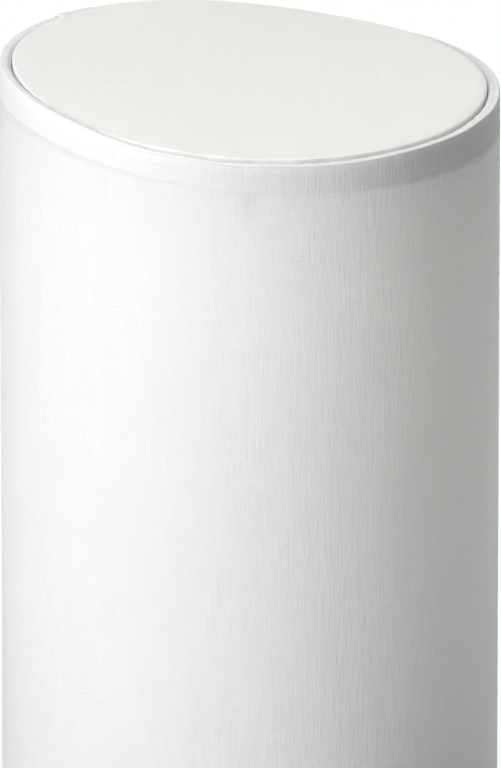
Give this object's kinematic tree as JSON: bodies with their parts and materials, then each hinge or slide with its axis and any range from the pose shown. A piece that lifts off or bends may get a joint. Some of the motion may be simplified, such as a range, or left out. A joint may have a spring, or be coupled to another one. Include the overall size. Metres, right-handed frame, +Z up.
{
  "type": "column floor lamp",
  "caption": "Tall white cloth column lamp on a round weighted foot, with a cloth covered closing disc, a slim pole inside and two upright screw-in bulbs.",
  "frame": {"origin": "centre of the foot, on the floor", "axes": "+Z up the column, -Y towards the viewer, +Y towards the cord inlet"},
  "size_m": [0.228, 0.228, 1.38],
  "materials": {
    "white_steel": "fine powder coat",
    "raw_iron": "rough casting",
    "zinc_plate": "zinc plated sheet",
    "zinc_steel": "zinc plated",
    "ring_steel": "galvanised rod",
    "black_steel": "black oxide",
    "grey_felt": "pressed felt",
    "white_rubber": "matt",
    "cream_plastic": "moulded",
    "brass": "rolled",
    "earth_insulation": "insulated wire with a tinned tag",
    "brown_insulation": "insulated wire",
    "blue_insulation": "insulated wire",
    "white_plastic": "moulded",
    "ceramic": "unglazed",
    "solder": "tinned",
    "black_insulator": "vitrified",
    "bulb_metal": "rolled thread",
    "bulb_plastic": "moulded",
    "opal_globe": "opal, satin",
    "white_cloth": "linen weave",
    "white_liner": "satin film",
    "white_tape": "matt",
    "fibreboard": "sanded fibreboard",
    "white_card": "matt"
  },
  "bodies": {
    "stand": {"base_cover": "white_steel", "base_weight": "raw_iron", "base_plate": "zinc_plate", "base_screws": "zinc_steel", "foot_pads": "grey_felt", "cord_gland": "white_rubber", "terminal_block": "cream_plastic", "terminal_screws": "brass", "earth_lead": "earth_insulation", "earth_screw": "zinc_steel", "pole_stud": "zinc_steel", "stud_nut": "zinc_steel", "stud_washer": "zinc_steel", "pole_flange": "white_steel", "flange_screws": "zinc_steel", "pole_lower": "white_steel", "lower_junction": "white_steel", "pole_middle": "white_steel", "upper_junction": "white_steel", "pole_upper": "white_steel", "pole_cap": "zinc_steel", "grub_screws": "black_steel", "lower_arm": "white_steel", "upper_arm": "white_steel", "holder_locknuts": "zinc_steel", "lower_holder_cup": "white_plastic", "lower_holder_core": "ceramic", "lower_screw_shell": "brass", "lower_contact": "brass", "lower_holder_skirt": "white_plastic", "upper_holder_cup": "white_plastic", "upper_holder_core": "ceramic", "upper_screw_shell": "brass", "upper_contact": "brass", "upper_holder_skirt": "white_plastic", "lower_wires": "brown_insulation", "upper_wires": "blue_insulation"},
    "lower_bulb_contact": {"lower_bulb_tip": "solder"},
    "lower_bulb": {"lower_bulb_insulator": "black_insulator", "lower_bulb_cap": "bulb_metal", "lower_bulb_housing": "bulb_plastic", "lower_bulb_globe": "opal_globe"},
    "upper_bulb_contact": {"upper_bulb_tip": "solder"},
    "upper_bulb": {"upper_bulb_insulator": "black_insulator", "upper_bulb_cap": "bulb_metal", "upper_bulb_housing": "bulb_plastic", "upper_bulb_globe": "opal_globe"},
    "shade": {"shade_cloth": "white_cloth", "shade_liner": "white_liner", "top_ring": "ring_steel", "bottom_ring": "ring_steel", "seam_tape": "white_tape", "spider_hub": "ring_steel", "spider_arms": "ring_steel", "rest_tabs": "ring_steel"},
    "disc": {"disc_cloth": "white_cloth", "disc_board": "fibreboard", "disc_backing": "white_card"}
  },
  "joints": [
    {"name": "shade_lift", "type": "slide", "parent": "stand", "child": "shade", "axis": [0, 0, 1], "range_m": [0, 1.35]},
    {"name": "disc_lift", "type": "slide", "parent": "shade", "child": "disc", "axis": [0, 0, 1], "range_m": [0, 0.06]},
    {"name": "lower_bulb_travel", "type": "slide", "parent": "stand", "child": "lower_bulb_contact", "axis": [0, 0, 1], "range_m": [0, 0.0109]},
    {"name": "lower_bulb_turn", "type": "hinge", "parent": "lower_bulb_contact", "child": "lower_bulb", "pos_m": [0.046, 0, 0.4832], "axis": [0, 0, 1], "range_deg": [0, 1080]},
    {"name": "upper_bulb_travel", "type": "slide", "parent": "stand", "child": "upper_bulb_contact", "axis": [0, 0, 1], "range_m": [0, 0.0109]},
    {"name": "upper_bulb_turn", "type": "hinge", "parent": "upper_bulb_contact", "child": "upper_bulb", "pos_m": [-0.046, 0, 0.9632], "axis": [0, 0, 1], "range_deg": [0, 1080]}
  ],
  "couplings": [
    {"joint": "lower_bulb_travel", "follows": "lower_bulb_turn", "m_per_rad": 0.00057757},
    {"joint": "upper_bulb_travel", "follows": "upper_bulb_turn", "m_per_rad": 0.00057757}
  ]
}
